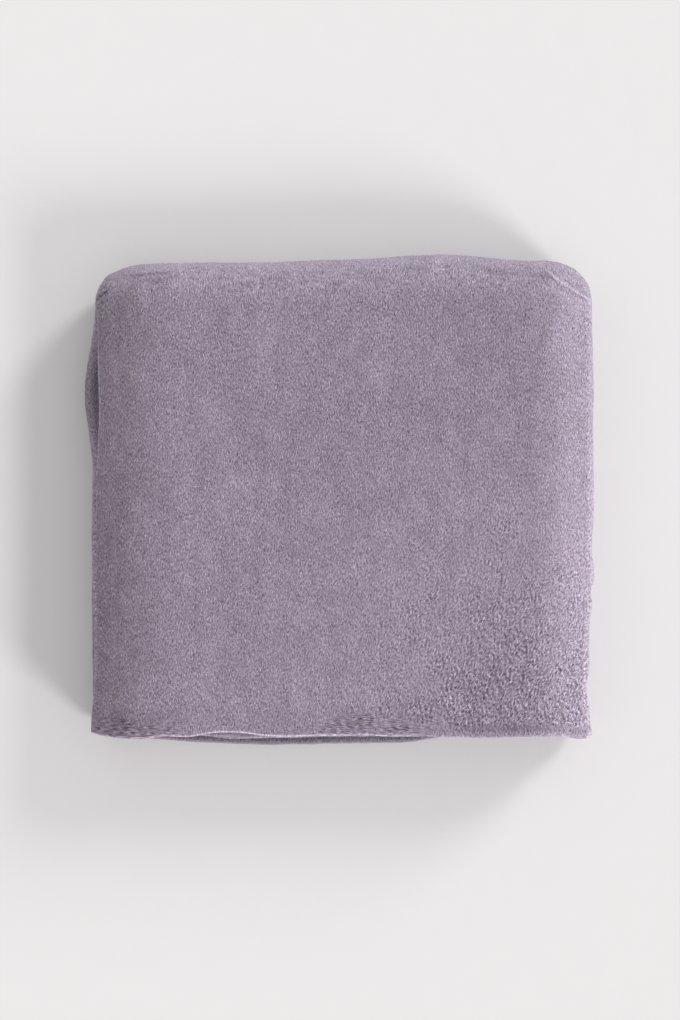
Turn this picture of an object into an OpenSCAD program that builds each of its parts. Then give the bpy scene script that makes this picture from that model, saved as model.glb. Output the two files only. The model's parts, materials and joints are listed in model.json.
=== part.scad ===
// Folded throw blanket: one plush cloth, folded in thirds across its width and
// then twice in half along its length, so that twelve layers lie on each other.
// The last fold opens like a book about the spine.
//
// X runs across the folded cloth, +Y points to the spine and +Z is up. The
// origin is at the middle of the underside. Three layers make a pack, and four
// packs make the stack: packs 1 and 2 are the lower half, 3 and 4 the upper.

/* [Cloth] */
// Width of the open cloth, which is folded in thirds
cloth_w = 1300; // [1100:10:1500]
// Length of the open cloth, which is folded in quarters
cloth_l = 1700; // [1400:10:2000]
// Thickness of one layer, with the pile on both faces
ply_t = 5; // [4:0.25:7]
// Air between neighbouring layers where they turn
turn_gap = 0.2; // [0.1:0.05:0.4]
// Air between the lower and the upper half
half_gap = 0.4; // [0.3:0.1:0.8]

/* [Hems] */
// Distance from the cloth's edge to its row of stitching
hem_d = 18; // [12:1:25]
// How far the hemmed ends stand back from the turned front edge
hem_setback = 6; // [3:1:10]
// Diameter of the sewing thread
thread_d = 0.8; // [0.5:0.1:1]
// Depth of the channel that the thread sinks into
channel_d = 1; // [1:0.1:1.4]

/* [Care label] */
// Width of the blank label, along the side hem
label_w = 30; // [20:1:40]
// How far the label reaches in from the side hem
label_l = 45; // [30:1:60]
// Thickness of the label
label_t = 0.4; // [0.2:0.1:0.6]
// Distance of the label from the front edge
label_y = 130; // [80:5:200]

/* [Hidden] */

$fn = 96;
EPS = 0.01;

// The three thirds of the width, in the order that they lie in a pack. The
// tucked third lies inside, and the covering third has its side hem at the left.
MIDDLE = 0;
TUCK = 1;
COVER = 2;

outline_w = cloth_w / 3;
outline_l = cloth_l / 4;
pack_t = 3 * ply_t;
hinge_z = 2 * pack_t + half_gap / 2;

// The right turn joins the middle to the cover around the tucked edge, and the
// left turn joins the middle to the tucked third.
right_turn_r = pack_t / 2;
left_turn_r = ply_t;
right_x = outline_w / 2 - right_turn_r;
left_x = -outline_w / 2 + left_turn_r;

spine_y = outline_l / 2 - hinge_z;
front_turn_y = -outline_l / 2 + pack_t;
hem_y = -outline_l / 2 + hem_setback;

side_row_x = left_x + hem_d;
tuck_row_x = right_x - hem_d;
front_row_y = hem_y + hem_d;

function pack_of(layer) = ceil(layer / 3);
// Odd packs lie with their cover down, even packs with it up.
function faces_down(pack) = pack % 2 == 1;
function third_of(layer) =
    let (i = (layer - 1) % 3) faces_down(pack_of(layer)) ? 2 - i : i;
function pack_front(pack) = pack <= 2 ? front_turn_y : hem_y;
function layer_top(third) = (third + 1) * ply_t;

module plush(shade = 0) {
    color([0.60 - shade, 0.55 - shade, 0.62 - shade]) children();
}

module thread_colour() {
    color([0.50, 0.45, 0.53]) children();
}

// Puts a pack's own frame, whose z is the height above the back of its middle
// third, where that pack lies in the stack.
module in_pack(pack) {
    seam_z = pack <= 2 ? pack_t : 3 * pack_t + half_gap;
    translate([0, 0, seam_z])
        if (faces_down(pack)) mirror([0, 0, 1]) children();
        else children();
}

// Runs a section, drawn with its height along y, from y0 to y1.
module run_along_y(y0, y1) {
    translate([0, y1, 0]) rotate([90, 0, 0]) linear_extrude(y1 - y0) children();
}

// Half of a ring, which bulges to +X for side = 1 and to -X for side = -1.
module half_ring(outer_r, inner_r, side) {
    intersection() {
        difference() {
            circle(outer_r);
            circle(inner_r);
        }
        translate([side > 0 ? 0 : -outer_r, -outer_r]) square([outer_r, 2 * outer_r]);
    }
}

// Section of one third, thinned by inset on both faces. Its free edge is round.
module third_section(third, inset = 0) {
    thick = ply_t - 2 * inset;
    translate([left_x, third * ply_t + inset]) square([right_x - left_x, thick]);
    if (third == COVER)
        translate([left_x, (third + 0.5) * ply_t]) circle(thick / 2);
    if (third == TUCK)
        translate([right_x, (third + 0.5) * ply_t]) circle(thick / 2 - turn_gap);
}

module right_turn_section() {
    translate([right_x, pack_t / 2]) half_ring(right_turn_r, right_turn_r - ply_t, 1);
}

module left_turn_section() {
    translate([left_x, ply_t]) half_ring(left_turn_r, turn_gap, -1);
}

// Section of the middle third with the left turn, where the whole pack turns.
module middle_and_left_turn(inset) {
    difference() {
        union() {
            translate([left_x, inset])
                square([right_x - left_x, 2 * (ply_t - inset)]);
            translate([left_x, ply_t]) circle(left_turn_r - inset);
        }
        translate([left_x, ply_t - inset]) square([outline_w, pack_t]);
        translate([left_x, ply_t]) circle(turn_gap + inset);
    }
}

// Section of the covering third with the right turn, where the whole pack turns.
module cover_and_right_turn(inset) {
    difference() {
        union() {
            translate([left_x, inset])
                square([right_x - left_x, pack_t - 2 * inset]);
            translate([left_x, (COVER + 0.5) * ply_t]) circle(ply_t / 2 - inset);
            translate([right_x, pack_t / 2]) circle(right_turn_r - inset);
        }
        translate([right_x - 2 * outline_w, -ply_t])
            square([2 * outline_w, (COVER + 1) * ply_t + inset]);
        translate([right_x, pack_t / 2]) circle(right_turn_r - ply_t + inset);
    }
}

module turning_section(third) {
    inset = turn_gap / 2;
    if (third == MIDDLE) middle_and_left_turn(inset);
    if (third == TUCK) third_section(third, inset);
    if (third == COVER) cover_and_right_turn(inset);
}

// Sweeps a section half a turn about the X axis, from -Z through side * Y to +Z.
// The section's height is its distance from the axis.
module half_turn(side) {
    rotate([0, -90, 0]) rotate([0, 0, side > 0 ? 0 : 180])
        rotate_extrude(angle = 180) rotate(90) mirror([0, 1]) children();
}

// The channel that a row of stitching sinks into, along X or along Y.
module channel_x(x0, x1, y, top) {
    translate([x0, y - thread_d, top - channel_d])
        cube([x1 - x0, 2 * thread_d, channel_d + EPS]);
}

module channel_y(x, y0, y1, top) {
    translate([x - thread_d, y0, top - channel_d])
        cube([2 * thread_d, y1 - y0, channel_d + EPS]);
}

module thread_x(x0, x1, y, top) {
    translate([x0, y, top - channel_d + thread_d / 2 + EPS])
        rotate([0, 90, 0]) cylinder(d = thread_d, h = x1 - x0, $fn = 24);
}

module thread_y(x, y0, y1, top) {
    translate([x, y0, top - channel_d + thread_d / 2 + EPS])
        rotate([-90, 0, 0]) cylinder(d = thread_d, h = y1 - y0, $fn = 24);
}

// Where the front row of stitching starts and ends on each third.
function front_row_start(third) = third == COVER ? side_row_x + thread_d : left_x;
function front_row_end(third) = third == TUCK ? tuck_row_x - thread_d : right_x;
// Where the side rows start: the corner of the hem, or the front turn.
function side_row_start(pack) = pack <= 2 ? front_turn_y : front_row_y + thread_d;

module label_shape(extra = 0) {
    translate([side_row_x + 2, -outline_l / 2 + label_y, layer_top(COVER) - label_t])
        cube([label_l, label_w, label_t + extra]);
}

module layer(number) {
    pack = pack_of(number);
    third = third_of(number);
    top = layer_top(third);
    plush(0.012 * (number % 2))
        in_pack(pack) difference() {
            run_along_y(pack_front(pack), spine_y) third_section(third);
            if (third == COVER)
                channel_y(side_row_x, side_row_start(pack) - 2 * thread_d, spine_y + EPS, top);
            if (third == TUCK)
                channel_y(tuck_row_x, side_row_start(pack) - 2 * thread_d, spine_y + EPS, top);
            if (pack > 2)
                channel_x(front_row_start(third) - 2 * thread_d,
                          front_row_end(third) + 2 * thread_d, front_row_y, top);
            if (number == 6)
                label_shape(EPS);
        }
}

module right_turn(pack) {
    plush(0.02) in_pack(pack)
        run_along_y(pack_front(pack), spine_y) right_turn_section();
}

module left_turn(pack) {
    plush(0.03) in_pack(pack)
        run_along_y(pack_front(pack), spine_y) left_turn_section();
}

// Packs 1 and 2 are joined at the front, about the seam between them.
module front_turn(third) {
    plush(0.02) translate([0, front_turn_y, pack_t])
        half_turn(-1) turning_section(third);
}

// Packs 2 and 3 are joined at the spine, with their covers innermost.
module spine_inner(third) {
    plush(0.04) translate([0, spine_y, hinge_z])
        half_turn(1) translate([0, pack_t + half_gap / 2]) mirror([0, 1])
            turning_section(third);
}

// Packs 1 and 4 are joined at the spine, around everything else.
module spine_outer(third) {
    plush(0.01) translate([0, spine_y, hinge_z])
        half_turn(1) translate([0, pack_t + half_gap / 2]) turning_section(third);
}

module side_hem_thread(pack) {
    y0 = side_row_start(pack);
    thread_colour() in_pack(pack) {
        thread_y(side_row_x, y0, spine_y, layer_top(COVER));
        thread_y(tuck_row_x, y0, spine_y, layer_top(TUCK));
    }
}

module front_hem_thread(pack) {
    thread_colour() in_pack(pack)
        for (third = [MIDDLE, TUCK, COVER])
            thread_x(front_row_start(third), front_row_end(third), front_row_y,
                     layer_top(third));
}

module care_label() {
    color([0.93, 0.92, 0.90]) in_pack(2) label_shape();
}

layer(1);  // layer_01
layer(2);  // layer_02
layer(3);  // layer_03
layer(4);  // layer_04
layer(5);  // layer_05
layer(6);  // layer_06
layer(7);  // layer_07
layer(8);  // layer_08
layer(9);  // layer_09
layer(10);  // layer_10
layer(11);  // layer_11
layer(12);  // layer_12
right_turn(1);  // right_turn_1
right_turn(2);  // right_turn_2
right_turn(3);  // right_turn_3
right_turn(4);  // right_turn_4
left_turn(1);  // left_turn_1
left_turn(2);  // left_turn_2
left_turn(3);  // left_turn_3
left_turn(4);  // left_turn_4
front_turn(MIDDLE);  // front_turn_middle
front_turn(TUCK);  // front_turn_tuck
front_turn(COVER);  // front_turn_cover
spine_inner(COVER);  // spine_inner_cover
spine_inner(TUCK);  // spine_inner_tuck
spine_inner(MIDDLE);  // spine_inner_middle
spine_outer(MIDDLE);  // spine_outer_middle
spine_outer(TUCK);  // spine_outer_tuck
spine_outer(COVER);  // spine_outer_cover
side_hem_thread(1);  // side_hem_thread_1
side_hem_thread(2);  // side_hem_thread_2
side_hem_thread(3);  // side_hem_thread_3
side_hem_thread(4);  // side_hem_thread_4
front_hem_thread(3);  // front_hem_thread_inner
front_hem_thread(4);  // front_hem_thread_outer
care_label();
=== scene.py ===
"""Folded plush throw: one cloth, folded in thirds and then twice in half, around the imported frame. In metres.

The cloth is one closed sheet. Every point of it has a place across the width (the section of a pack: covering
third, right turn, middle, left turn, tucked third) and a place along the length (the four packs, the spine
and the front turn). A pack's section is carried along the length, and a soft warp then gives the stack its
rounded, slightly slumped shape. The stitching and the care label are pieces of their own, laid on the cloth.
"""

import json
import math

import bpy
import numpy as np
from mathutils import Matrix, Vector


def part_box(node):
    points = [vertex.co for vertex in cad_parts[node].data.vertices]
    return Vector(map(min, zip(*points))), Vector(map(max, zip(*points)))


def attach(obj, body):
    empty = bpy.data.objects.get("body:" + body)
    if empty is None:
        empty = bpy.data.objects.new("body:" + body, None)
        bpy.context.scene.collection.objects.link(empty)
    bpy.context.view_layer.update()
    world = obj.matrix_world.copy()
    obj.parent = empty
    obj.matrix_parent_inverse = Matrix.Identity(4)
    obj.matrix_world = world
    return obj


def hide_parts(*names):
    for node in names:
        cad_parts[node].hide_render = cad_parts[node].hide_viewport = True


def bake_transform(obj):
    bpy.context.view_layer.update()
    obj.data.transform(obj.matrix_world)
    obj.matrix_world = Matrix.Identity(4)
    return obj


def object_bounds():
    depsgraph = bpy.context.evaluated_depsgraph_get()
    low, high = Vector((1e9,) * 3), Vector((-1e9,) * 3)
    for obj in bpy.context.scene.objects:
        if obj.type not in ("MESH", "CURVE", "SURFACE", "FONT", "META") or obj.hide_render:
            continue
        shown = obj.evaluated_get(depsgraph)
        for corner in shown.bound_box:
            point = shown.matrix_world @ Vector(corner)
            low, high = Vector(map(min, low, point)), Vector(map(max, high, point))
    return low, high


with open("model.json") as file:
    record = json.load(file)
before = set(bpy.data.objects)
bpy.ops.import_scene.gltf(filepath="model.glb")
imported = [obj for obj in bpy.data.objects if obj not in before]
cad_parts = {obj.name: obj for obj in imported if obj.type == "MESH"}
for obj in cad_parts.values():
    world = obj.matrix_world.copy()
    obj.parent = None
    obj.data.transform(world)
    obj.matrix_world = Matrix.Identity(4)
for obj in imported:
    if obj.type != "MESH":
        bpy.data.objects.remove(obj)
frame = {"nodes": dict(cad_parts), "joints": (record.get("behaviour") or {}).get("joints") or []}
cad_low, cad_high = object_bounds()

MM = 0.001

# ---------------------------------------------------------------- sizes from the frame

BOX_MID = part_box("layer_03")
BOX_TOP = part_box("layer_12")
BOX_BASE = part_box("layer_01")
BOX_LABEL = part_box("care_label")
PLY = BOX_TOP[1][2] - BOX_TOP[0][2]
PACK = 3 * PLY
LEFT_X = BOX_MID[0][0]
RIGHT_X = BOX_MID[1][0]
SPINE_Y = BOX_TOP[1][1]
HEM_Y = BOX_TOP[0][1]
FRONT_Y = BOX_BASE[0][1]
HINGE_Z = frame["joints"][0]["pos_m"][2]
HEIGHT = cad_high[2]
HALF_STEP = HINGE_Z - PACK  # from the hinge to the back of the nearer pack's middle third

FLAT_W, FLAT_L = 1.3, 1.7  # the open cloth, as it was cut and hemmed
CLOTH_T = 0.92 * PLY  # cloth with its pile; the rest of a layer is air
HEM_D = 18 * MM
STITCH = 3.2 * MM
THREAD_R = 0.3 * MM
THREAD_SIDES = 6
THREAD_DIP = 0.75 * MM  # how deep the thread goes at a stitch's ends, and how far it arches up between them
THREAD_ARCH = 0.5 * MM
GROOVE_W = 1.6 * MM  # how wide and how deep the stitching pulls the cloth in
SIDE_GROOVE, END_GROOVE = 0.12 * MM, 0.35 * MM
TOP_TIPS, COVERED_TIPS = 0.5 * MM, 0.22 * MM  # relief of the pile on the top and where it is pressed
LUMP_SIZE = 0.12 * MM
LABEL_T = 0.24 * MM
LABEL_FOLD = 6 * MM  # how much of the label's end is folded under
LABEL_SINK = 0.05 * MM

TOP_STEP = 1.0 * MM  # mesh spacing where the top of the cloth shows
SIDE_STEP = 2.6 * MM  # where only the turned sides and the underside show
HIDDEN_STEP = 5.0 * MM  # where other layers cover it
BACK_SKIP = 4  # the covered back of the cloth keeps one sample in so many
BACK_UV_SHIFT = (2.0, 0.3)  # takes the back's pattern from another place than the front's
EDGE_SAMPLES = 6
RIGHT_SAMPLES, LEFT_SAMPLES = 17, 11  # round the turns of a section
SPINE_SAMPLES, FRONT_SAMPLES, INNER_SAMPLES = 65, 31, 21  # round the turns along the length
LABEL_SAMPLES = 46, 31

UPRIGHT, LEANING, STREAKED = 1.5, 0.95, 0.0  # the ways that the pile's clumps run, as angles from u

PLUSH_COLOUR = (0.396, 0.331, 0.423)
THREAD_COLOUR = (0.33, 0.275, 0.35)
LABEL_COLOUR = (0.80, 0.78, 0.75)
FLOOR_COLOUR = (0.862, 0.852, 0.85)

# ---------------------------------------------------------------- how the stack strays from an exact fold

# Humps along an edge or a side: height, centre and half width, all in mm.
LEFT_TURN_HUMPS = ((-8.5, 96, 80),)
UPPER_HEM_HUMPS = ((-2.4, -188, 42),)
INNER_HEM_HUMPS = ((-1.5, -60, 120), (2.0, 140, 80))
FRONT_TURN_HUMPS = ((-8.0, -95, 130), (-6.5, 10, 125), (3.0, 145, 85), (-2.2, 45, 75))
SPINE_HUMPS = ((4.6, 92, 75),)
LEFT_SIDE_HUMPS = ((-1.9, -20, 120),)
RIGHT_SIDE_HUMPS = (
    (1.6, 94, 70),
    (-1.6, -39, 22),
    (1.0, -64, 14),
    (-2.4, -82, 11),
    (-3.0, -166, 22),
    (3.5, -212, 24),
)

# Straight marks on the top, from one end to the other as x, y, x, y in mm.
CORNER_STEP = (224, 172, 158, 217)
ROLLED_EDGE = (-192, 198.5, -144, 200.5)
CREASES = (  # ends, width, depth
    ((62, 197, 96, 200), 2.4, 1.1),
    ((104, 201, 148, 195), 2.6, 1.3),
    ((70, 187, 128, 189), 3.0, 0.8),
    ((-104, 191, -50, 194), 2.8, 0.8),
    ((-216, 181, -203, 192), 1.3, 2.4),
    ((-217, -98, -204, -106), 1.5, 1.0),
    ((-217, -128, -198, -142), 1.6, 1.2),
    ((-216, -46, -206, -40), 1.5, 0.7),
    ((219, -76, 207, -86), 1.6, 1.4),
    ((204, 160, 218, 152), 1.3, 0.8),
)

CORNERS = {  # (side in x, side in y): radius in plan
    (-1, 1): 44 * MM,
    (1, 1): 44 * MM,
    (-1, -1): 10 * MM,
    (1, -1): 4 * MM,
}
ROLLED_RIMS = {  # how far the top's rim rolls down, and from how far in
    "left": (15.0 * MM, 80 * MM),
    "right": (13.5 * MM, 60 * MM),
    "front": (4.0 * MM, 40 * MM),
}

# ---------------------------------------------------------------- stage

VIEW_Z = 0.7 * HEIGHT
VIEW_HEIGHT = 883.9 * MM  # how much the picture covers at that height
VIEW_CENTRE = (-3.0 * MM, -10.5 * MM)
LENS, SENSOR = 70, 36
FLOOR_SIZE = 120
WORLD_COLOUR = (1.0, 0.99, 0.99)
WORLD_POWER = 0.60
LIGHTS = (  # azimuth, elevation, spread, power
    ("key_front_right", -40, 21, 17, 1.722),
    ("key_back_right", 44, 18, 17, 1.842),
)


# ---------------------------------------------------------------- smooth shapes and noise

def smooth(t):
    """0 below 0, 1 above 1, and an S between."""
    t = np.clip(t, 0, 1)
    return t * t * (3 - 2 * t)


def hump(x, centre, half_width):
    """1 at centre, falling smoothly to 0 at half_width away."""
    return smooth(1 - np.abs(x - centre) / half_width)


def humps(x, rows):
    """The sum of several humps along x. Each row is a height, a centre and a half width, in mm."""
    total = 0
    for height, centre, half_width in rows:
        total = total + height * MM * hump(x, centre * MM, half_width * MM)
    return total


def ridge(x, centre, width):
    """1 at centre, falling as a bell curve with the given width."""
    return np.exp(-((x - centre) / width) ** 2)


def blur(seed, size_u, size_v):
    """Soft noise whose blobs are about size_u by size_v."""
    def weight(f_u, f_v):
        return np.exp(-2 * ((f_u * size_u) ** 2 + (f_v * size_v) ** 2))
    return Field(seed, weight)


def worms(seed, wave, stretch, turn):
    """Pile-like noise: short crooked ridges one wave apart, stretched along a direction turned from u."""
    c, s = math.cos(turn), math.sin(turn)
    spread = 0.34  # how much the ridges' spacing varies, as a share of it

    def weight(f_u, f_v):
        along = (c * f_u + s * f_v) * stretch
        across = c * f_v - s * f_u
        reach = np.sqrt(along ** 2 + across ** 2) * wave
        return np.exp(-0.5 * ((reach - 1) / spread) ** 2)
    return Field(seed, weight)


class Field:
    """Seeded noise over the flat cloth, with a unit spread."""

    STEP = 1.0 * MM
    PAD = 20 * MM

    def __init__(self, seed, weight):
        n_u = int((FLAT_W + 3 * self.PAD) / self.STEP)
        n_v = int((FLAT_L + 12 * self.PAD) / self.STEP)
        rough = np.random.default_rng(seed).standard_normal((n_u, n_v))
        f_u = np.fft.fftfreq(n_u, self.STEP)[:, None]
        f_v = np.fft.rfftfreq(n_v, self.STEP)[None, :]
        grid = np.fft.irfft2(np.fft.rfft2(rough) * weight(f_u, f_v), s=rough.shape)
        self.grid = grid / grid.std()

    def at(self, u, v):
        i = np.clip((u + self.PAD) / self.STEP, 0, self.grid.shape[0] - 1.001)
        j = np.clip((v + self.PAD) / self.STEP, 0, self.grid.shape[1] - 1.001)
        i0, j0 = i.astype(int), j.astype(int)
        a, b = i - i0, j - j0
        g = self.grid
        return ((1 - a) * (1 - b) * g[i0, j0] + a * (1 - b) * g[i0 + 1, j0]
                + (1 - a) * b * g[i0, j0 + 1] + a * b * g[i0 + 1, j0 + 1])


def wander(at, length, seed, size, blob):
    """A seeded smooth line of about the given size over a length, for an edge that isn't quite straight."""
    n = max(8, int(length / blob) + 4)
    knots = np.random.default_rng(seed).standard_normal(n + 3)
    x = np.clip(at / length, 0, 1) * (n - 1) + 1
    i = np.clip(x.astype(int), 1, n)
    t = x - i
    p0, p1, p2, p3 = knots[i - 1], knots[i], knots[i + 1], knots[np.minimum(i + 2, n + 2)]
    line = 0.5 * (2 * p1 + (p2 - p0) * t + (2 * p0 - 5 * p1 + 4 * p2 - p3) * t ** 2
                  + (3 * p1 - p0 - 3 * p2 + p3) * t ** 3)
    return size * line


def wander_along(seed, size, blob):
    """A wandering line along the length of the cloth."""
    return wander(V_S, V_LENGTH, seed, size, blob)


def wander_across(seed, size, blob):
    """A wandering line across the width of the cloth."""
    return wander(U_S, U_LENGTH, seed, size, blob)


# ---------------------------------------------------------------- the two paths of the cloth

def edge_steps():
    """Distances from a free edge that round it off: a quarter circle's worth."""
    return CLOTH_T / 2 * (1 - np.cos(np.linspace(0, math.pi / 2, EDGE_SAMPLES)))


def half_turn(samples):
    """Angles through half a turn, without its two ends."""
    return np.linspace(0, math.pi, samples)[1:-1]


def even(a, b, step):
    n = max(2, int(round(abs(b - a) / step)) + 1)
    return np.linspace(a, b, n)


def names_and_numbers(rows):
    """The rows' names, and their numbers as one array for each column."""
    return np.array([row[0] for row in rows]), np.array([row[1:] for row in rows], float).T


def section():
    """The section of a pack, from the cover's free hem to the tucked free edge. For each sample: the stretch
    it is on, how far along that stretch, the turn's offset, height in the pack, outward normal, and distance
    along the cloth."""
    width = RIGHT_X - LEFT_X
    ends = edge_steps()
    rows = []
    s = 0.0
    for d in np.concatenate([ends, even(ends[-1], width, TOP_STEP)[1:]]):
        rows.append(("cover", d / width, 0, 2.5 * PLY, 0, 1, s + d))
    s += width
    r = PACK / 2 - PLY / 2
    for t in half_turn(RIGHT_SAMPLES):
        c, n = math.cos(math.pi / 2 - t), math.sin(math.pi / 2 - t)
        rows.append(("right", 1, r * c, PACK / 2 + r * n, c, n, s + r * t))
    s += math.pi * r
    for d in even(0, width, HIDDEN_STEP):
        rows.append(("middle", 1 - d / width, 0, 0.5 * PLY, 0, -1, s + d))
    s += width
    r = PLY / 2
    for t in half_turn(LEFT_SAMPLES):
        c, n = math.cos(-math.pi / 2 - t), math.sin(-math.pi / 2 - t)
        rows.append(("left", 0, r * c, PLY + r * n, c, n, s + r * t))
    s += math.pi * r
    for d in np.concatenate([even(0, width - ends[-1], HIDDEN_STEP), width - ends[::-1][1:]]):
        rows.append(("tuck", d / width, 0, 1.5 * PLY, 0, 1, s + d))
    s += width
    return *names_and_numbers(rows), s


def lengthwise():
    """The way along the length, from the upper pack's hem to the inner pack's hem. For each sample: the
    stretch, how far along it towards the spine, the direction of a pack's height in y and z, and distance
    along the cloth."""
    top = SPINE_Y - HEM_Y
    base = SPINE_Y - FRONT_Y
    ends = edge_steps()
    rows = []
    s = 0.0
    for d in np.concatenate([ends, even(ends[-1], top, TOP_STEP)[1:]]):
        rows.append(("pack_4", d / top, 0, 1, s + d))
    s += top
    r = HALF_STEP + 2 * PLY
    for t in half_turn(SPINE_SAMPLES):
        a = math.pi / 2 - t
        rows.append(("outer", 1, math.cos(a), math.sin(a), s + r * t))
    s += math.pi * r
    for d in even(0, base, SIDE_STEP):
        rows.append(("pack_1", 1 - d / base, 0, -1, s + d))
    s += base
    r = 1.5 * PLY
    for t in half_turn(FRONT_SAMPLES):
        a = -math.pi / 2 - t
        rows.append(("front", 0, math.cos(a), math.sin(a), s + r * t))
    s += math.pi * r
    for d in even(0, base, SIDE_STEP):
        rows.append(("pack_2", d / base, 0, 1, s + d))
    s += base
    for t in half_turn(INNER_SAMPLES):
        a = -math.pi / 2 + t
        rows.append(("inner", 1, math.cos(a), math.sin(a), s + r * t))
    s += math.pi * r
    for d in np.concatenate([even(0, top - ends[-1], SIDE_STEP), top - ends[::-1][1:]]):
        rows.append(("pack_3", 1 - d / top, 0, -1, s + d))
    s += top
    return *names_and_numbers(rows), s


U_NAME, (U_AT, U_TURN, U_C, U_NX, U_NC, U_S), U_LENGTH = section()
V_NAME, (V_AT, V_DY, V_DZ, V_S), V_LENGTH = lengthwise()
U_X = LEFT_X + U_AT * (RIGHT_X - LEFT_X)


def side_edges():
    """Where the left and right turns, the cover's hem and the tucked edge lie in x, along the length."""
    top_y = HEM_Y + V_AT * (SPINE_Y - HEM_Y)
    on_top = V_NAME == "pack_4"
    left = LEFT_X + wander_along(seed=11, size=0.9 * MM, blob=90 * MM)
    left = left + on_top * humps(top_y, LEFT_TURN_HUMPS)
    right = RIGHT_X + wander_along(seed=12, size=0.8 * MM, blob=80 * MM)
    hem = LEFT_X - 1.0 * MM + wander_along(seed=13, size=0.7 * MM, blob=60 * MM)
    hem = hem - 2.5 * MM * on_top * smooth((-120 * MM - top_y) / (90 * MM))
    tuck = RIGHT_X - 2.0 * MM + wander_along(seed=14, size=1.0 * MM, blob=100 * MM)
    return left, right, hem, tuck


def end_edges():
    """Where the two hemmed ends and the front turn lie in y, across the width."""
    set_back = np.where(U_NAME == "cover", 1.8, 3.2) * MM
    loose = np.where(U_NAME == "cover", 1.0, 1.6) * MM
    fine = (0.5 + 0.5 * hump(U_X, -70 * MM, 110 * MM)) * MM
    upper = HEM_Y + set_back + humps(U_X, UPPER_HEM_HUMPS)
    upper = upper + wander_across(seed=21, size=loose, blob=60 * MM)
    upper = upper + wander_across(seed=22, size=fine, blob=22 * MM)
    upper = upper - 1.5 * MM * smooth((U_X - 150 * MM) / (50 * MM))
    upper = upper - 2.4 * MM * smooth((U_X - 188 * MM) / (16 * MM))
    inner = HEM_Y + 0.8 * MM + humps(U_X, INNER_HEM_HUMPS)
    inner = inner + wander_across(seed=23, size=1.5 * MM, blob=80 * MM)
    inner = inner + wander_across(seed=25, size=0.5 * MM, blob=20 * MM)
    front = FRONT_Y + 4.6 * MM + humps(U_X, FRONT_TURN_HUMPS)
    front = front + wander_across(seed=24, size=0.5 * MM, blob=50 * MM)
    return upper, inner, front


def folded(offset):
    """Points of the sheet at an offset from its middle surface, before the warp. offset is an array [u, v]."""
    left, right, hem, tuck = side_edges()
    upper, inner, front = end_edges()
    n = U_NAME[:, None]
    at = U_AT[:, None]
    start = np.where(n == "cover", hem[None, :], left[None, :])
    stop = np.where(n == "tuck", tuck[None, :], right[None, :])
    x = start + at * (stop - start) + U_TURN[:, None] + U_NX[:, None] * offset
    c = U_C[:, None] + U_NC[:, None] * offset
    m = V_NAME[None, :]
    first = np.where(m == "pack_3", inner[:, None], front[:, None])
    first = np.where(m == "pack_4", upper[:, None], first)
    y0 = first + V_AT[None, :] * (SPINE_Y - first)
    z0 = np.where((m == "pack_4") | (m == "pack_3"), HINGE_Z + HALF_STEP, PACK)
    z0 = np.where((m == "outer") | (m == "inner"), HINGE_Z, z0)
    reach = np.where(m == "outer", HALF_STEP + c, np.where(m == "inner", HALF_STEP - c, c))
    y = y0 + V_DY[None, :] * reach
    z = z0 + V_DZ[None, :] * reach
    return x, y, z


def hinge_weight():
    """How far each place along the length follows the lower half: by its angle round the hinge."""
    w = np.ones(len(V_NAME))
    w[(V_NAME == "pack_4") | (V_NAME == "pack_3")] = 0
    turn = (V_NAME == "outer") | (V_NAME == "inner")
    w[turn] = 0.5 - np.arctan2(V_DZ[turn], V_DY[turn]) / math.pi
    return w


# ---------------------------------------------------------------- the soft shape of the stack

def round_corners(x, y):
    """Pulls each corner in to a round one, by the usual map from a square to a disc."""
    for (side_x, side_y), r in CORNERS.items():
        edge_x = cad_high[0] * side_x
        edge_y = cad_high[1] * side_y
        a = np.clip(1 - (edge_x - x) * side_x / r, 0, 1.6)
        b = np.clip(1 - (edge_y - y) * side_y / r, 0, 1.6)
        inside = (a > 0) & (b > 0)
        na = a * np.sqrt(np.clip(1 - 0.5 * b * b, 0.2, 1))
        nb = b * np.sqrt(np.clip(1 - 0.5 * a * a, 0.2, 1))
        x = np.where(inside, x + (na - a) * r * side_x, x)
        y = np.where(inside, y + (nb - b) * r * side_y, y)
    return x, y


def past_line(x, y, x0, y0, x1, y1):
    """Distance to the left of the line from (x0, y0) to (x1, y1), in mm, and the share of the way along it."""
    length = math.hypot(x1 - x0, y1 - y0)
    tx, ty = (x1 - x0) / length, (y1 - y0) / length
    dx, dy = x / MM - x0, y / MM - y0
    return tx * dy - ty * dx, (tx * dx + ty * dy) / length


def crease(x, y, ends, width, depth):
    """Height change at a short soft crease: a groove with a raised lip beside it. Its measures are in mm."""
    off, along = past_line(x, y, *ends)
    fade = smooth(along * 3.5) * smooth((1 - along) * 3.5)
    groove = ridge(off, 0, width) - 0.6 * ridge(off, 1.9 * width, width)
    return -depth * MM * fade * groove


def past_corner_step(x, y):
    """Distance in mm past the fold across the right back corner."""
    off, along = past_line(x, y, *CORNER_STEP)
    return -off + 4.0 * hump(along, 0.5, 0.6)


def from_rolled_edge(x, y):
    """Distance in mm from the line under the rolled back edge, at the left, and the roll's strength there."""
    off, along = past_line(x, y, *ROLLED_EDGE)
    return off, smooth(along * 4) * smooth((1 - along) * 3)


def small_folds(x, y):
    """Height changes of the top layer: the step at the right back corner, the rolled edge and the creases."""
    off = past_corner_step(x, y)
    z = -3.6 * MM * smooth(off / 1.8) + 1.3 * MM * ridge(off, -1.3, 1.3)
    off, band = from_rolled_edge(x, y)
    z = z + 1.6 * MM * band * (ridge(off, 4.2, 2.6) - ridge(off, 0, 1.6))
    for ends, width, depth in CREASES:
        z = z + crease(x, y, ends, width, depth)
    return z


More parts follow.
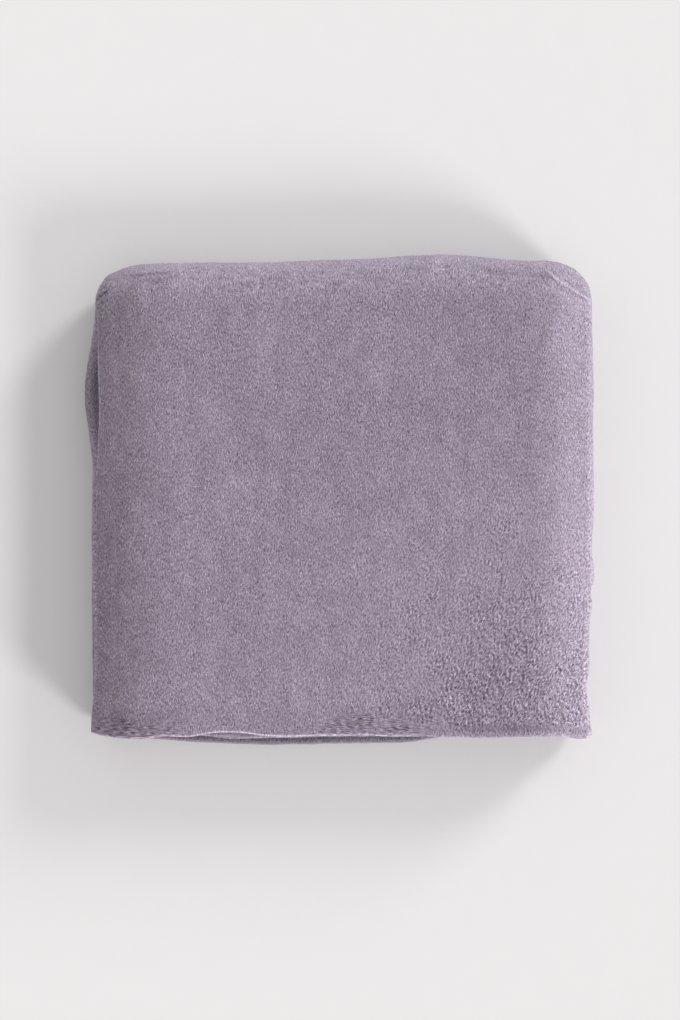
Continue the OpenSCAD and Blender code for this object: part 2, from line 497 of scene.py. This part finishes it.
def bow_spine(x, y, high):
    """y, with the spine edge bowed out right of the middle and rippled a little."""
    at_spine = smooth((y - 20 * MM) / (170 * MM))
    bow = (4.2 + 6.5 * ((x - 70 * MM) / (290 * MM)) ** 2) * MM - humps(x, SPINE_HUMPS)
    ripple = 1.2 * MM * np.sin(x / (31 * MM) + 0.6) * (0.4 + 0.6 * high)
    return y + at_spine * (ripple - bow)


def shift_sides(x, y):
    """x, with the open left side flared towards the front, and the right turn waved."""
    x = x - 1.8 * MM * smooth(-x / (220 * MM)) * smooth((40 * MM - y) / (240 * MM))
    bulge = humps(y, RIGHT_SIDE_HUMPS) - 3.6 * MM * smooth((-78 * MM - y) / (40 * MM))
    x = x + smooth(x / (210 * MM)) ** 2 * bulge
    return x + smooth(-x / (200 * MM)) * humps(y, LEFT_SIDE_HUMPS)


def rolled_down(inwards):
    """How far the upper layers roll down, by the distance inwards from each rim."""
    drop = 0
    for rim, (depth, width) in ROLLED_RIMS.items():
        drop = drop + depth * np.clip(1 - inwards[rim] / width, 0, 1.1) ** 2
    return drop


def swells(x, y):
    """The gentle dips and swells of the top."""
    wide = 0.5 * np.sin(x / (63 * MM) + 1.1) * np.cos(y / (81 * MM) - 0.4)
    slanting = 0.3 * np.sin((x + 0.6 * y) / (37 * MM))
    upright = 0.3 * np.sin(x / (15 * MM) + 0.8 * np.sin(y / (70 * MM))) * hump(x, -110 * MM, 110 * MM)
    return (wide + slanting + upright - 0.6) * MM


def near_top(z):
    """1 in the top layer, 0 in the layers under it."""
    return smooth((z - 0.8 * HEIGHT) / (0.12 * HEIGHT))


def warp(x, y, z):
    """The whole stack's soft shape, the same for every layer, so that none goes through its neighbour."""
    high = np.clip(z / HEIGHT, 0, 1)
    upper = smooth((z - 0.25 * HEIGHT) / (0.75 * HEIGHT))
    folds = small_folds(x, y) * near_top(z)
    y = bow_spine(x, y, high)
    x = shift_sides(x, y)
    x, y = round_corners(x, y)
    inwards = {"left": x - cad_low[0], "right": cad_high[0] - x, "front": y - cad_low[1]}
    z = z - upper * (rolled_down(inwards) - swells(x, y)) + folds
    # The lowest layers lift a little off the floor at the edges.
    to_rim = np.minimum(np.minimum(inwards["left"], inwards["right"]), inwards["front"])
    z = z + (1 - high) * 1.5 * MM * (1 - smooth(to_rim / (24 * MM)))
    return x, y, z


# ---------------------------------------------------------------- the cloth

def edge_profile(distance):
    """Share of the full thickness at a distance from a free edge."""
    r = CLOTH_T / 2
    return np.sqrt(np.clip(1 - (1 - np.clip(distance / r, 0, 1)) ** 2, 0, 1))


def stitch_groove(distance, depth, pucker):
    """How far the stitching pulls the face in, with small puckers along it."""
    line = np.exp(-0.5 * ((distance - HEM_D) / GROOVE_W) ** 2)
    return line * depth * (1 + 0.3 * pucker)


def worn_patches(u, v):
    """Where along the front hem the pile is flattened into streaks: at the left and right of the middle."""
    patches = hump(u, 40 * MM, 58 * MM) + hump(u, 226 * MM, 78 * MM)
    return np.clip(patches + 0.25 * blur(seed=10, size_u=22 * MM, size_v=6 * MM).at(u, v), 0, 1)


def pile_lie(u, v):
    """How much the pile leans in larger clumps, as it does towards the right front, and how much it runs in
    streaks, as it does along the hems."""
    clumps = blur(seed=6, size_u=12 * MM, size_v=16 * MM).at(u, v)
    right_front = smooth((u - 130 * MM) / (240 * MM)) * smooth((300 * MM - v) / (280 * MM))
    lean = np.clip(0.85 * right_front + 0.1 * clumps, 0, 1)
    lean = lean * smooth((v - 5 * MM) / (9 * MM))
    from_end = np.minimum(v, V_LENGTH - v) + 3 * MM * clumps
    streaky = (1 - smooth((from_end - 8 * MM) / (16 * MM))) * worn_patches(u, v)
    return lean, streaky


def pile_height(u, v, lean, streaky):
    """Height of the pile's tips over the flat cloth, about -1 to 1."""
    fine = worms(seed=1, wave=2.2 * MM, stretch=2.4, turn=UPRIGHT).at(u, v)
    leaning = worms(seed=2, wave=2.35 * MM, stretch=2.2, turn=LEANING).at(u, v)
    streaks = worms(seed=4, wave=2.2 * MM, stretch=5.0, turn=STREAKED).at(u, v)
    height = 0.7 * (1 - lean) * fine + 2.0 * lean * leaning
    height = (1 - streaky) * height + 1.6 * streaky * streaks
    deeper = 1 + 0.5 * (1 - smooth(v / (80 * MM)))
    return np.clip(deeper * height, -2.6, 2.6) / 2


def painted_fold_light_and_patches(u, v, x, y, z):
    """Painted light and shade at the small folds of the top: a painted highlight along the crest of the step at
    the right back corner, darker past it, a painted highlight on the rolled edge at the left with painted shade
    under it, and pale and dark patches near the spine. x, y and z are the places before the warp."""
    step = past_corner_step(x, y)
    # A painted highlight along the crest of the corner step, and darker past it.
    shade = 0.38 * ridge(step, -0.9, 0.9) - 0.16 * smooth((step - 0.2) / 1.5)
    off, band = from_rolled_edge(x, y)
    # A painted highlight on the rolled edge, and painted shade under it.
    shade = shade + 0.16 * band * (ridge(off, 4.0, 2.4) - ridge(off, -3.5, 4.0))
    marks = blur(seed=12, size_u=13 * MM, size_v=4 * MM).at(u, v)
    shade = shade + 0.07 * marks * hump(y, 196 * MM, 24 * MM)
    return near_top(z) * shade


def hem_wear_and_painted_light(u, v):
    """How the hems and the front turn differ in shade: worn dark pile in front of the stitching at the left, a
    darker band inside the hem at the right with a paler line nearer its rim, a painted highlight along the
    hems' rims and the front turn's outer edge, and painted shadow in the gap between the hems and the front
    turn."""
    at_right = smooth((u - 280 * MM) / (50 * MM))
    band = 0.21 * hump(v, 14 * MM, 17 * MM) * (0.3 + 0.9 * worn_patches(u, v))
    seam = 0.30 * hump(v, 8.5 * MM, 7 * MM) - 0.18 * hump(v, 3.2 * MM, 2.2 * MM)
    shade = -(1 - at_right) * band - at_right * seam
    # A painted highlight along the upper hem's rim, strongest in the middle.
    bright = 0.45 + 1.1 * hump(u, 150 * MM, 150 * MM)
    shade = shade + bright * (1 - smooth((v - 0.7 * MM) / (1.4 * MM)))
    # A painted highlight along the inner hem's rim.
    shade = shade + 0.3 * (1 - smooth((V_LENGTH - v - 0.5 * MM) / (1.3 * MM)))
    # A painted highlight along the front turn's outer edge, and painted shadow in the gap above it, under the
    # hems.
    front = V_S[V_NAME == "front"].mean()
    return shade + 0.28 * hump(v, front - 1 * MM, 5 * MM) - 0.6 * hump(v, front + 7 * MM, 5 * MM)


def painted_left_gap_light_and_shadow(u, v):
    """Painted shade where the top pack's left turn peeps out under the cover, darkest towards the cover's rim,
    and a painted highlight along that rim.
    """
    turn = U_S[U_NAME == "left"]
    flare_y = LEFT_TURN_HUMPS[0][1] * MM
    peeps = hump(v, flare_y - HEM_Y, 110 * MM)
    # A painted highlight along the cover's rim, and painted shade on the left turn under it.
    rim = 0.42 * (1 - smooth((u - 0.6 * MM) / (1.5 * MM)))
    dark = 0.7 * hump(u, turn.max() + 8 * MM, 9 * MM) + 0.28 * hump(u, turn.mean(), 10 * MM)
    return peeps * (rim - dark)


def painted_rim_light_and_shade(u, v, lean):
    """Painted light and shade at the rims: a painted highlight along the cloth's edges, painted shade on the
    left side, painted light on the right side and along the spine, and painted light where the pile leans and
    near the front that makes up for the shade of their deeper relief.
    """
    side_rim = 1 - smooth(np.minimum(u, U_LENGTH - u) / (2.5 * MM))
    at_left = hump(u, 2 * MM, 64 * MM)
    at_right = hump(u, RIGHT_X - LEFT_X - 6 * MM, 44 * MM)
    at_spine = hump(v, SPINE_Y - HEM_Y + 24 * MM, 42 * MM)
    at_front = 1 - smooth(v / (80 * MM))
    # A painted highlight along the edges, painted shade at the left, painted light at the right and the spine;
    # the lean and front terms are painted light against the shade of the deeper relief there.
    rims = 0.15 * side_rim - 0.22 * at_left + 0.31 * at_right
    return rims + 0.28 * at_spine + 0.36 * lean + 0.08 * at_front


def painted_light_and_tone_of(u, v, height, lean, before_warp):
    """How light the pile shows: tips paler than gaps, which is painted shade between the tufts, random patches
    and bands of tone, and the painted light and shade of the folds, hems and rims.
    """
    brushed = blur(seed=3, size_u=16 * MM, size_v=26 * MM).at(u, v)
    bands = blur(seed=7, size_u=9 * MM, size_v=60 * MM).at(u, v)
    # Tips paler than gaps: painted shade between the tufts. The brushed and band terms are random tone.
    fine = (0.15 + 0.03 * brushed) * height + 0.018 * brushed + 0.015 * bands
    # The painted light and shade of the folds, the hems and the gap at the left.
    folds = painted_fold_light_and_patches(u, v, *before_warp) + hem_wear_and_painted_light(u, v) + painted_left_gap_light_and_shadow(u, v)
    return 1 + fine + painted_rim_light_and_shade(u, v, lean) + folds


def cloth_faces():
    """The outer and the inner face of the cloth and its middle, as grids of points, and the outer face's pile:
    its tone with painted light and shade, how much it leans and how much it runs in streaks."""
    u, v = np.broadcast_arrays(U_S[:, None], V_S[None, :])
    from_side = np.minimum(u, U_LENGTH - u)
    from_end = np.minimum(v, V_LENGTH - v)
    profile = edge_profile(np.minimum(from_side, from_end))
    lean, streaky = pile_lie(u, v)
    height = pile_height(u, v, lean, streaky)
    on_top = (U_NAME == "cover")[:, None] & ((V_NAME == "pack_4") | (V_NAME == "outer"))[None, :]
    pucker = blur(seed=5, size_u=3 * MM, size_v=3 * MM).at(u, v)
    pull = stitch_groove(from_side, SIDE_GROOVE, pucker) + stitch_groove(from_end, END_GROOVE, pucker)
    lumps = LUMP_SIZE * blur(seed=9, size_u=9 * MM, size_v=9 * MM).at(u, v)
    half = CLOTH_T / 2 - 0.3 * MM  # leaves room for the tips
    tips = np.where(on_top, TOP_TIPS, COVERED_TIPS) * (1 + 0.5 * lean) * height
    outer = profile * (half + tips + lumps - pull)
    inner = -profile * (half - lumps)
    grids = [np.stack(warp(*folded(offset)), -1) for offset in (outer, inner, np.zeros_like(outer))]
    # The pile's tone, with its painted light and shade.
    shade = painted_light_and_tone_of(u, v, height, lean, folded(outer))
    return grids, {"pile_shade": shade, "pile_lean": lean, "pile_streaks": streaky}


def kept(n):
    """The samples that the covered back keeps: all near the two edges, and one in a few between."""
    near = 7
    between = np.arange(near, n - near, BACK_SKIP)
    return np.concatenate([np.arange(near), between, np.arange(n - near, n)])


def back_faces(first, second, rows, columns):
    """Faces of the coarse back. Along its border each face also takes the outer face's samples in between."""
    faces = []
    last_r, last_c = len(rows) - 2, len(columns) - 2
    for a in range(len(rows) - 1):
        for b in range(len(columns) - 1):
            r0, r1, c0, c1 = rows[a], rows[a + 1], columns[b], columns[b + 1]
            left = [(r, c0) for r in range(r0, r1)] if b == 0 else [(r0, c0)]
            top = [(r1, c) for c in range(c0, c1)] if a == last_r else [(r1, c0)]
            right = [(r, c1) for r in range(r1, r0, -1)] if b == last_c else [(r1, c1)]
            bottom = [(r0, c) for c in range(c1, c0, -1)] if a == 0 else [(r0, c1)]
            faces.append(left + top + right + bottom)
    flat = np.array([p for face in faces for p in face])
    return [len(face) for face in faces], second[flat[:, 0], flat[:, 1]], flat


def sheet_mesh(name, outer, inner, pile):
    """One closed mesh from the two faces of a sheet, which share their border."""
    n_u, n_v = outer.shape[:2]
    rows, columns = kept(n_u), kept(n_v)
    first = np.arange(n_u * n_v).reshape(n_u, n_v)
    inside = np.ix_(rows[1:-1], columns[1:-1])
    second = first.copy()
    second[inside] = n_u * n_v + np.arange(first[inside].size).reshape(first[inside].shape)
    points = np.concatenate([outer.reshape(-1, 3), inner[inside].reshape(-1, 3)])
    column_of = np.concatenate([np.tile(np.arange(n_v), n_u), np.tile(columns[1:-1], len(rows) - 2)])

    def corners_of(grid):
        return np.stack([grid[:-1, 1:], grid[1:, 1:], grid[1:, :-1], grid[:-1, :-1]], 2)

    front_loops = corners_of(first).reshape(-1)
    sizes, back_loops, back_at = back_faces(first, second, rows, columns)
    flat = np.stack(np.broadcast_arrays(U_S[:, None], V_S[None, :]), -1)
    front_uv = corners_of(flat).reshape(-1, 2)
    back_uv = flat[back_at[:, 0], back_at[:, 1]] + BACK_UV_SHIFT
    loops = np.concatenate([front_loops, back_loops])
    back_starts = len(front_loops) + np.cumsum([0] + sizes[:-1])
    starts = np.concatenate([np.arange(0, len(front_loops), 4), back_starts])

    mesh = bpy.data.meshes.new(name)
    mesh.vertices.add(len(points))
    mesh.vertices.foreach_set("co", points.astype(np.float32).ravel())
    mesh.loops.add(len(loops))
    mesh.loops.foreach_set("vertex_index", loops.astype(np.int32))
    mesh.polygons.add(len(starts))
    mesh.polygons.foreach_set("loop_start", starts.astype(np.int32))
    mesh.update(calc_edges=True)
    layer = mesh.uv_layers.new(name="cloth")
    layer.uv.foreach_set("vector", np.concatenate([front_uv, back_uv]).astype(np.float32).ravel())
    for key, values in pile.items():
        both = np.concatenate([values.ravel(), values[inside].ravel()])
        mesh.attributes.new(key, "FLOAT", "POINT").data.foreach_set("value", both.astype(np.float32))
    mesh.shade_smooth()
    return add_object(name, mesh), hinge_weight()[column_of]


def add_object(name, mesh):
    obj = bpy.data.objects.new(name, mesh)
    bpy.context.scene.collection.objects.link(obj)
    return obj


def across_hinge(piece):
    """Bakes a piece's placement into its mesh."""
    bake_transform(piece)


# ---------------------------------------------------------------- stitching and label

def on_cloth(grid, u, v):
    """Points of a grid of the cloth at places of the flat cloth."""
    i = np.clip(np.searchsorted(U_S, u) - 1, 0, len(U_S) - 2)
    j = np.clip(np.searchsorted(V_S, v) - 1, 0, len(V_S) - 2)
    a = ((u - U_S[i]) / (U_S[i + 1] - U_S[i]))[:, None]
    b = ((v - V_S[j]) / (V_S[j + 1] - V_S[j]))[:, None]
    return ((1 - a) * (1 - b) * grid[i, j] + a * (1 - b) * grid[i + 1, j]
            + (1 - a) * b * grid[i, j + 1] + a * b * grid[i + 1, j + 1])


def unit(vectors):
    return vectors / np.linalg.norm(vectors, axis=1)[:, None]


def thread_rings(face, middle, u, v):
    """Rings of a sewing thread along a row, on top of a face and dipping into the cloth at each stitch."""
    run = np.concatenate([[0], np.cumsum(np.hypot(np.diff(u), np.diff(v)))])
    surface = on_cloth(face, u, v)
    up = unit(surface - on_cloth(middle, u, v))
    rise = THREAD_ARCH * np.abs(np.sin(math.pi * run / STITCH)) - THREAD_DIP
    path = surface + up * rise[:, None]
    ahead = unit(np.gradient(path, axis=0))
    across = unit(np.cross(ahead, up))
    lift = np.cross(across, ahead)
    turns = np.arange(THREAD_SIDES) * 2 * math.pi / THREAD_SIDES
    ring = np.cos(turns)[None, :, None] * across[:, None, :] + np.sin(turns)[None, :, None] * lift[:, None, :]
    return path[:, None, :] + THREAD_R * ring


def thread_mesh(name, rows):
    """One mesh of several closed threads, each a list of rings."""
    points, faces = [], []
    for rings in rows:
        n, sides = rings.shape[:2]
        base = sum(len(p) for p in points)
        points.append(rings.reshape(-1, 3))
        ids = base + np.arange(n * sides).reshape(n, sides)
        after = np.roll(ids, -1, axis=1)
        faces.extend(np.stack([ids[:-1], after[:-1], after[1:], ids[1:]], -1).reshape(-1, 4).tolist())
        faces.append(ids[0][::-1].tolist())
        faces.append(ids[-1].tolist())
    mesh = bpy.data.meshes.new(name)
    mesh.from_pydata(np.concatenate(points).tolist(), [], faces)
    mesh.shade_smooth()
    return add_object(name, mesh)


def side_stitching(grids):
    """The two rows along the cloth's long edges, on its outer face. They run across the hinge, as the cloth
    does.
    """
    v = even(HEM_D, V_LENGTH - HEM_D, STITCH / 4)
    rows = [thread_rings(grids[0], grids[2], np.full_like(v, u), v) for u in (HEM_D, U_LENGTH - HEM_D)]
    piece = thread_mesh("side_hem_stitching", rows)
    sides = rows[0].shape[1]
    weights = np.tile(np.repeat(np.interp(v, V_S, hinge_weight()), sides), len(rows))
    across_hinge(piece)
    return piece


def front_stitching(grids):
    """The two rows along the hemmed ends, which both lie at the front of the upper half."""
    u = even(HEM_D, U_LENGTH - HEM_D, STITCH / 4)
    rows = [thread_rings(grids[0], grids[2], u, np.full_like(u, v)) for v in (HEM_D, V_LENGTH - HEM_D)]
    piece = thread_mesh("front_hem_stitching", rows)
    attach(piece, "upper_half")
    return piece


def label_mesh():
    """A blank ribbon label with one end folded under, lying on the lower half's upper face."""
    low, high = BOX_LABEL
    n_x, n_y = LABEL_SAMPLES
    x, y = np.meshgrid(np.linspace(low[0], high[0], n_x), np.linspace(low[1], high[1], n_y), indexing="ij")
    curl = 0.10 * MM * np.sin((x - low[0]) / (9 * MM)) + 0.06 * MM * np.sin((y - low[1]) / (6 * MM) + 1)
    folded_end = smooth((x - high[0] + LABEL_FOLD) / (0.6 * MM))
    half = LABEL_T / 2 + 0.10 * MM * folded_end
    middle = high[2] - LABEL_SINK + curl
    grids = [np.stack(warp(x, y, middle + side * half), -1) for side in (1, -1)]
    first = np.arange(n_x * n_y).reshape(n_x, n_y)
    second = first + n_x * n_y
    faces = []
    for ids, flip in ((first, 1), (second, -1)):
        quads = np.stack([ids[:-1, :-1], ids[1:, :-1], ids[1:, 1:], ids[:-1, 1:]], -1).reshape(-1, 4)
        faces.extend(quads[:, ::flip].tolist())
    loop = np.concatenate([first[:-1, 0], first[-1, :-1], first[:0:-1, -1], first[0, :0:-1]])
    under = loop + n_x * n_y
    faces.extend(np.stack([loop, under, np.roll(under, -1), np.roll(loop, -1)], -1).tolist())
    mesh = bpy.data.meshes.new("care_ribbon")
    mesh.from_pydata(np.concatenate([g.reshape(-1, 3) for g in grids]).tolist(), [], faces)
    mesh.shade_smooth()
    return add_object("care_ribbon", mesh)


# ---------------------------------------------------------------- materials

class Surface:
    """A procedural material, with short calls for the nodes that these surfaces use."""

    def __init__(self, name):
        self.material = bpy.data.materials.new(name)
        self.material.use_nodes = True
        self.nodes = self.material.node_tree.nodes
        self.links = self.material.node_tree.links
        self.nodes.clear()
        self.shader = self.nodes.new("ShaderNodeBsdfPrincipled")
        out = self.nodes.new("ShaderNodeOutputMaterial")
        self.links.new(self.shader.outputs[0], out.inputs[0])

    def uv(self):
        node = self.nodes.new("ShaderNodeUVMap")
        node.uv_map = "cloth"
        return node.outputs[0]

    def place(self):
        return self.nodes.new("ShaderNodeTexCoord").outputs["Object"]

    def attribute(self, name):
        node = self.nodes.new("ShaderNodeAttribute")
        node.attribute_name = name
        return node.outputs["Fac"]

    def turned(self, coords, direction, stretch):
        """Coordinates in which a pattern is drawn out by stretch along a direction, an angle from u."""
        turn = self.nodes.new("ShaderNodeMapping")
        turn.inputs["Rotation"].default_value = (0, 0, -direction)
        self.links.new(coords, turn.inputs[0])
        squeeze = self.nodes.new("ShaderNodeMapping")
        squeeze.inputs["Scale"].default_value = (1 / stretch, 1, 1)
        self.links.new(turn.outputs[0], squeeze.inputs[0])
        return squeeze.outputs[0]

    def noise(self, coords, scale, detail=2.0, rough=0.5, distort=0.0):
        node = self.nodes.new("ShaderNodeTexNoise")
        node.inputs["Scale"].default_value = scale
        node.inputs["Detail"].default_value = detail
        node.inputs["Roughness"].default_value = rough
        node.inputs["Distortion"].default_value = distort
        self.links.new(coords, node.inputs["Vector"])
        return node.outputs["Fac"]

    def blend(self, a, b, share):
        node = self.nodes.new("ShaderNodeMix")
        self.links.new(share, node.inputs["Factor"])
        self.links.new(a, node.inputs["A"])
        self.links.new(b, node.inputs["B"])
        return node.outputs["Result"]

    def wave(self, coords, scale, direction):
        node = self.nodes.new("ShaderNodeTexWave")
        node.bands_direction = direction
        node.inputs["Scale"].default_value = scale
        node.inputs["Distortion"].default_value = 0.6
        self.links.new(coords, node.inputs["Vector"])
        return node.outputs["Fac"]

    def remap(self, source, low, high, a, b):
        node = self.nodes.new("ShaderNodeMapRange")
        for key, value in (("From Min", low), ("From Max", high), ("To Min", a), ("To Max", b)):
            node.inputs[key].default_value = value
        self.links.new(source, node.inputs["Value"])
        return node.outputs["Result"]

    def contrast(self, source, gain):
        """A pattern between 0 and 1, made stronger or weaker about its middle."""
        return self.remap(source, 0, 1, 0.5 - gain / 2, 0.5 + gain / 2)

    def maths(self, kind, a, b):
        node = self.nodes.new("ShaderNodeMath")
        node.operation = kind
        for socket, value in zip(node.inputs, (a, b)):
            if isinstance(value, float):
                socket.default_value = value
            else:
                self.links.new(value, socket)
        return node.outputs[0]

    def colour(self, rgb, shade):
        """The base colour, times a shade that varies over the surface."""
        grey = self.nodes.new("ShaderNodeCombineColor")
        for i in range(3):
            self.links.new(shade, grey.inputs[i])
        mix = self.nodes.new("ShaderNodeMix")
        mix.data_type = "RGBA"
        mix.blend_type = "MULTIPLY"
        mix.inputs["Factor"].default_value = 1.0
        mix.inputs["A"].default_value = (*rgb, 1)
        self.links.new(grey.outputs[0], mix.inputs["B"])
        self.links.new(mix.outputs["Result"], self.shader.inputs["Base Color"])

    def bump(self, height, strength, distance):
        node = self.nodes.new("ShaderNodeBump")
        node.inputs["Strength"].default_value = strength
        node.inputs["Distance"].default_value = distance
        self.links.new(height, node.inputs["Height"])
        self.links.new(node.outputs[0], self.shader.inputs["Normal"])

    def sheen(self, weight, roughness, tint):
        self.shader.inputs["Sheen Weight"].default_value = weight
        self.shader.inputs["Sheen Roughness"].default_value = roughness
        self.shader.inputs["Sheen Tint"].default_value = (*tint, 1)


def pile_tufts(s):
    """The pile's finest pattern: upright, in leaning clumps or in streaks, as the cloth's own values say."""
    upright = s.noise(s.turned(s.uv(), UPRIGHT, stretch=2.6), scale=1180, detail=1.0, distort=0.8)
    leaning = s.noise(s.turned(s.uv(), LEANING, stretch=2.2), scale=1000, detail=1.0, distort=0.8)
    streaks = s.noise(s.turned(s.uv(), STREAKED, stretch=5.0), scale=1150, detail=1.0, distort=0.4)
    tufts = s.blend(s.contrast(upright, 1.2), s.contrast(leaning, 2.4), s.attribute("pile_lean"))
    return s.blend(tufts, s.contrast(streaks, 1.7), s.attribute("pile_streaks"))


def plush_material():
    s = Surface("plush")
    tufts = pile_tufts(s)
    fibres = s.noise(s.turned(s.uv(), UPRIGHT, stretch=2.5), scale=2200, detail=1.0, distort=0.5)
    patches = s.noise(s.uv(), scale=14, detail=3.0, rough=0.55, distort=0.6)
    # The colour is darker where the tufts' bump is low: painted shade between the tufts, on the pile's own
    # grain. The cloth's pile attribute adds its tone and its painted light and shade.
    shade = s.maths("MULTIPLY", s.remap(tufts, 0.2, 0.8, 0.42, 1.58), s.remap(fibres, 0.3, 0.7, 0.92, 1.08))
    shade = s.maths("MULTIPLY", shade, s.remap(patches, 0.3, 0.7, 0.975, 1.025))
    shade = s.maths("MULTIPLY", shade, s.attribute("pile_shade"))
    s.colour(PLUSH_COLOUR, shade)
    height = s.maths("ADD", s.maths("MULTIPLY", tufts, 0.85), s.maths("MULTIPLY", fibres, 0.15))
    s.bump(height, strength=1.0, distance=2.8 * MM)
    s.links.new(s.remap(tufts, 0.3, 0.7, 0.98, 0.82), s.shader.inputs["Roughness"])
    s.shader.inputs["Specular IOR Level"].default_value = 0.12
    s.sheen(weight=0.6, roughness=0.3, tint=(0.97, 0.95, 1.0))
    return s.material


def thread_material():
    s = Surface("thread")
    twist = s.noise(s.place(), scale=1500)
    s.colour(THREAD_COLOUR, s.remap(twist, 0.3, 0.7, 0.8, 1.2))
    s.bump(twist, strength=0.6, distance=0.15 * MM)
    s.shader.inputs["Roughness"].default_value = 0.55
    s.shader.inputs["Specular IOR Level"].default_value = 0.35
    return s.material


def label_material():
    s = Surface("label")
    coords = s.place()
    weft = s.wave(coords, scale=900, direction="X")
    warp_yarn = s.wave(coords, scale=1100, direction="Y")
    weave = s.maths("ADD", s.maths("MULTIPLY", weft, 0.7), s.maths("MULTIPLY", warp_yarn, 0.3))
    s.colour(LABEL_COLOUR, s.remap(weave, 0.0, 1.0, 0.93, 1.05))
    s.bump(weave, strength=0.5, distance=0.1 * MM)
    s.links.new(s.remap(weave, 0.0, 1.0, 0.5, 0.35), s.shader.inputs["Roughness"])
    s.shader.inputs["Specular IOR Level"].default_value = 0.4
    return s.material


def floor_material():
    s = Surface("pale_floor")
    speck = s.noise(s.place(), scale=40)
    s.colour(FLOOR_COLOUR, s.remap(speck, 0.3, 0.7, 0.997, 1.003))
    s.shader.inputs["Roughness"].default_value = 0.9
    s.shader.inputs["Specular IOR Level"].default_value = 0.1
    return s.material


# ---------------------------------------------------------------- stage

def add_light(name, azimuth, elevation, spread, power):
    """A wide, far light. Azimuth from +X, elevation and spread are in degrees, power in W per square metre."""
    data = bpy.data.lights.new(name, "SUN")
    data.angle = math.radians(spread)
    data.energy = power
    light = bpy.data.objects.new(name, data)
    a, e = math.radians(azimuth), math.radians(elevation)
    direction = Vector((math.cos(a) * math.cos(e), math.sin(a) * math.cos(e), math.sin(e)))
    light.location = direction
    light.rotation_euler = direction.to_track_quat("Z", "Y").to_euler()
    bpy.context.scene.collection.objects.link(light)


def build_lights():
    world = bpy.data.worlds.new("studio")
    world.use_nodes = True
    background = world.node_tree.nodes["Background"]
    background.inputs[0].default_value = (*WORLD_COLOUR, 1)
    background.inputs[1].default_value = WORLD_POWER
    bpy.context.scene.world = world
    for light in LIGHTS:
        add_light(*light)


def build_floor():
    bpy.ops.mesh.primitive_plane_add(size=FLOOR_SIZE, location=(0, 0, -0.2 * MM))
    floor = bpy.context.object
    floor.name = "floor"
    floor.data.materials.append(floor_material())


def build_camera():
    """Straight down, with the stack a little above and right of the middle."""
    data = bpy.data.cameras.new("camera")
    data.lens = LENS
    data.sensor_width = SENSOR
    data.sensor_fit = "AUTO"
    camera = bpy.data.objects.new("camera", data)
    distance = VIEW_HEIGHT * LENS / SENSOR
    camera.location = (*VIEW_CENTRE, VIEW_Z + distance)
    bpy.context.scene.collection.objects.link(camera)
    bpy.context.scene.camera = camera


# ---------------------------------------------------------------- build

def finish_piece(piece, material, nodes):
    piece.data.materials.append(material)
    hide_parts(*nodes)


def build_throw():
    side_nodes = [n for n in frame["nodes"] if n.startswith("side_hem_thread")]
    front_nodes = [n for n in frame["nodes"] if n.startswith("front_hem_thread")]
    trim = side_nodes + front_nodes + ["care_label"]
    cloth_nodes = [n for n in frame["nodes"] if n not in trim]

    grids, pile = cloth_faces()
    cloth, weights = sheet_mesh("cloth", grids[0], grids[1], pile)
    across_hinge(cloth)
    finish_piece(cloth, plush_material(), cloth_nodes)

    thread = thread_material()
    side_row = side_stitching(grids)
    finish_piece(side_row, thread, side_nodes)
    front_row = front_stitching(grids)
    finish_piece(front_row, thread, front_nodes)
    label = label_mesh()
    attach(label, "lower_half")
    finish_piece(label, label_material(), ["care_label"])


build_camera()
build_lights()
build_floor()
build_throw()
bpy.context.scene.view_settings.view_transform = "Standard"
